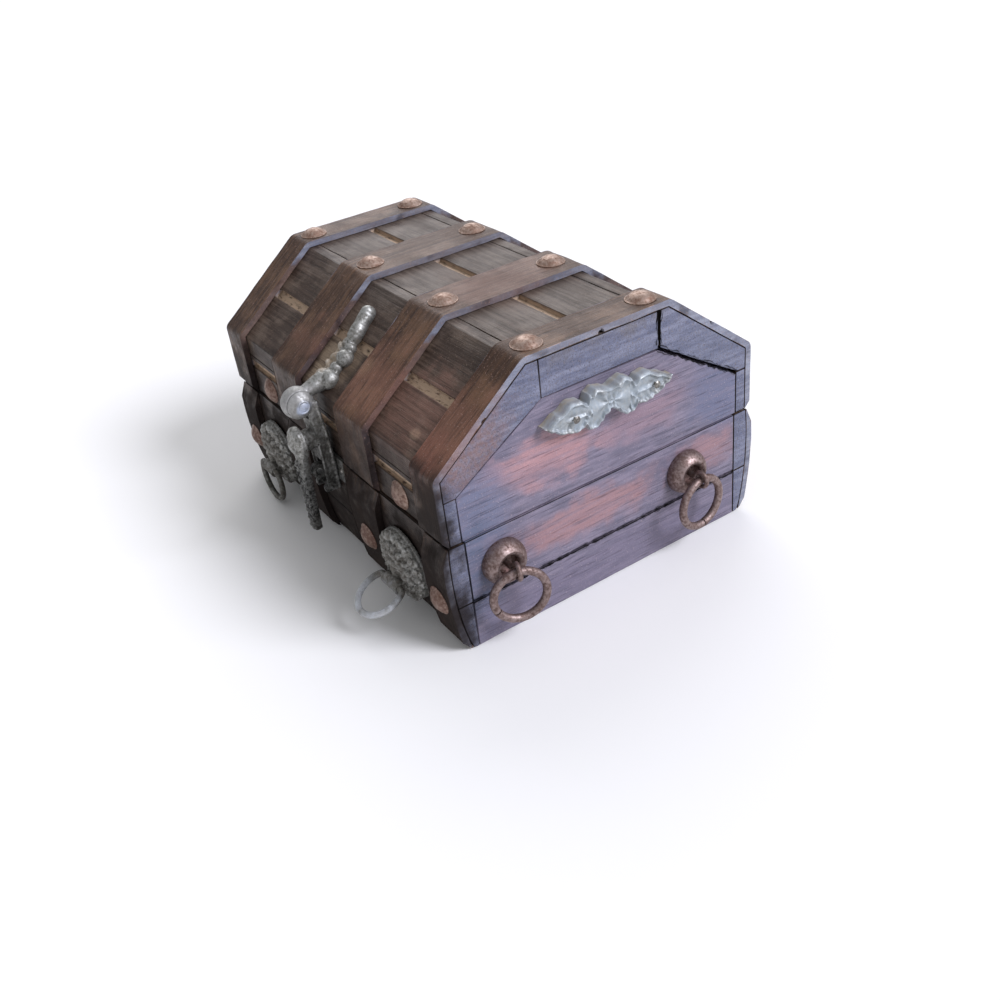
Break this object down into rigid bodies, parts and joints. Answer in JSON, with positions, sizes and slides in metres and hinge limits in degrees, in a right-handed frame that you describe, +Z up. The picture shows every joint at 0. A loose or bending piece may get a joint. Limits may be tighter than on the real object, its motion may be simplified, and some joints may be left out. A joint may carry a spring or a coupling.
{
  "type": "treasure chest box",
  "caption": "Small wooden treasure chest box with a faceted hinged lid, raised straps, domed tacks, cast plates, a drop hasp with a swinging tongue, and pull rings on its ends.",
  "frame": {"origin": "middle of the case on the plane it stands on", "axes": "+X along the chest towards its right end as seen from the front, -Y the front with the hasp, +Z up"},
  "size_m": [0.1581, 0.1297, 0.0829],
  "materials": {
    "board_wood": "stained dark brown, worn, brushed grain",
    "end_wood": "end boards, stained, worn to a dull pink grey",
    "strap_wood": "stained dark brown, edges rubbed pale",
    "cast_pewter": "cast relief, dark in the recesses",
    "aged_bronze": "aged, rubbed bright on the high parts",
    "copper_tacks": "dull copper brown domes",
    "nail_steel": "dull small nail heads",
    "hinge_brass": "plain, slightly tarnished"
  },
  "bodies": {
    "base": {"base_back_lower": "board_wood", "base_back_straps": "strap_wood", "base_back_tacks": "copper_tacks", "base_back_upper": "board_wood", "base_floor": "board_wood", "base_front_lower": "board_wood", "base_front_straps": "strap_wood", "base_front_tacks": "copper_tacks", "base_front_upper": "board_wood", "base_hinge_leaf_left": "hinge_brass", "base_hinge_leaf_right": "hinge_brass", "base_hinge_screws": "hinge_brass", "base_left_lower": "end_wood", "base_left_upper": "end_wood", "base_right_lower": "end_wood", "base_right_upper": "end_wood", "hasp_staple": "cast_pewter", "hasp_staple_nails": "nail_steel", "hinge_pin_left": "hinge_brass", "hinge_pin_right": "hinge_brass", "lion_plate_left": "cast_pewter", "lion_plate_nails": "nail_steel", "lion_plate_right": "cast_pewter", "ring_boss_left_back": "aged_bronze", "ring_boss_left_front": "aged_bronze", "ring_boss_right_back": "aged_bronze", "ring_boss_right_front": "aged_bronze", "ring_eyes": "aged_bronze", "staple_plate": "cast_pewter"},
    "lid": {"end_ornament_left": "cast_pewter", "end_ornament_right": "cast_pewter", "hasp_casting": "cast_pewter", "hasp_casting_nails": "nail_steel", "hasp_pin": "cast_pewter", "lid_back_board": "board_wood", "lid_back_slope": "board_wood", "lid_front_board": "board_wood", "lid_front_slope": "board_wood", "lid_front_tacks": "copper_tacks", "lid_hinge_leaf_left": "hinge_brass", "lid_hinge_leaf_right": "hinge_brass", "lid_hinge_screws": "hinge_brass", "lid_left_end": "end_wood", "lid_right_end": "end_wood", "lid_strap_1": "strap_wood", "lid_strap_2": "strap_wood", "lid_strap_3": "strap_wood", "lid_strap_4": "strap_wood", "lid_top_plank": "board_wood", "lid_top_tacks": "copper_tacks", "ornament_nails": "nail_steel"},
    "hasp_arm_body": {"hasp_arm": "cast_pewter", "tongue_rivet": "cast_pewter"},
    "hasp_tongue_body": {"hasp_tongue": "cast_pewter"},
    "drop_ring_left_body": {"drop_ring_left": "cast_pewter"},
    "drop_ring_right_body": {"drop_ring_right": "cast_pewter"},
    "pull_ring_left_front_body": {"pull_ring_left_front": "aged_bronze"},
    "pull_ring_left_back_body": {"pull_ring_left_back": "aged_bronze"},
    "pull_ring_right_front_body": {"pull_ring_right_front": "aged_bronze"},
    "pull_ring_right_back_body": {"pull_ring_right_back": "aged_bronze"}
  },
  "joints": [
    {"name": "lid_hinge", "type": "hinge", "parent": "base", "child": "lid", "pos_m": [0, 0.05455, 0.0356], "axis": [-1, 0, 0], "range_deg": [0, 105]},
    {"name": "hasp_swing", "type": "hinge", "parent": "lid", "child": "hasp_arm_body", "pos_m": [0, -0.0603, 0.0556], "axis": [-1, 0, 0], "range_deg": [0, 140]},
    {"name": "tongue_swing", "type": "hinge", "parent": "hasp_arm_body", "child": "hasp_tongue_body", "pos_m": [0, -0.062, 0.0428], "axis": [0, 1, 0], "range_deg": [-100, 100]},
    {"name": "drop_ring_left_swing", "type": "hinge", "parent": "base", "child": "drop_ring_left_body", "pos_m": [-0.04365, -0.0599, 0.0136], "axis": [-1, 0, 0], "range_deg": [-10, 160]},
    {"name": "drop_ring_right_swing", "type": "hinge", "parent": "base", "child": "drop_ring_right_body", "pos_m": [0.04285, -0.0599, 0.0136], "axis": [-1, 0, 0], "range_deg": [-76, 100]},
    {"name": "pull_ring_left_front_swing", "type": "hinge", "parent": "base", "child": "pull_ring_left_front_body", "pos_m": [-0.07595, -0.0376, 0.0246], "axis": [0, 1, 0], "range_deg": [-20, 150]},
    {"name": "pull_ring_left_back_swing", "type": "hinge", "parent": "base", "child": "pull_ring_left_back_body", "pos_m": [-0.07595, 0.0283, 0.0246], "axis": [0, 1, 0], "range_deg": [-20, 150]},
    {"name": "pull_ring_right_front_swing", "type": "hinge", "parent": "base", "child": "pull_ring_right_front_body", "pos_m": [0.07595, -0.0376, 0.0246], "axis": [-0.2588, -0.9659, 0], "range_deg": [-10, 150]},
    {"name": "pull_ring_right_back_swing", "type": "hinge", "parent": "base", "child": "pull_ring_right_back_body", "pos_m": [0.07595, 0.0283, 0.0246], "axis": [0.0872, -0.9962, 0], "range_deg": [-20, 150]}
  ]
}
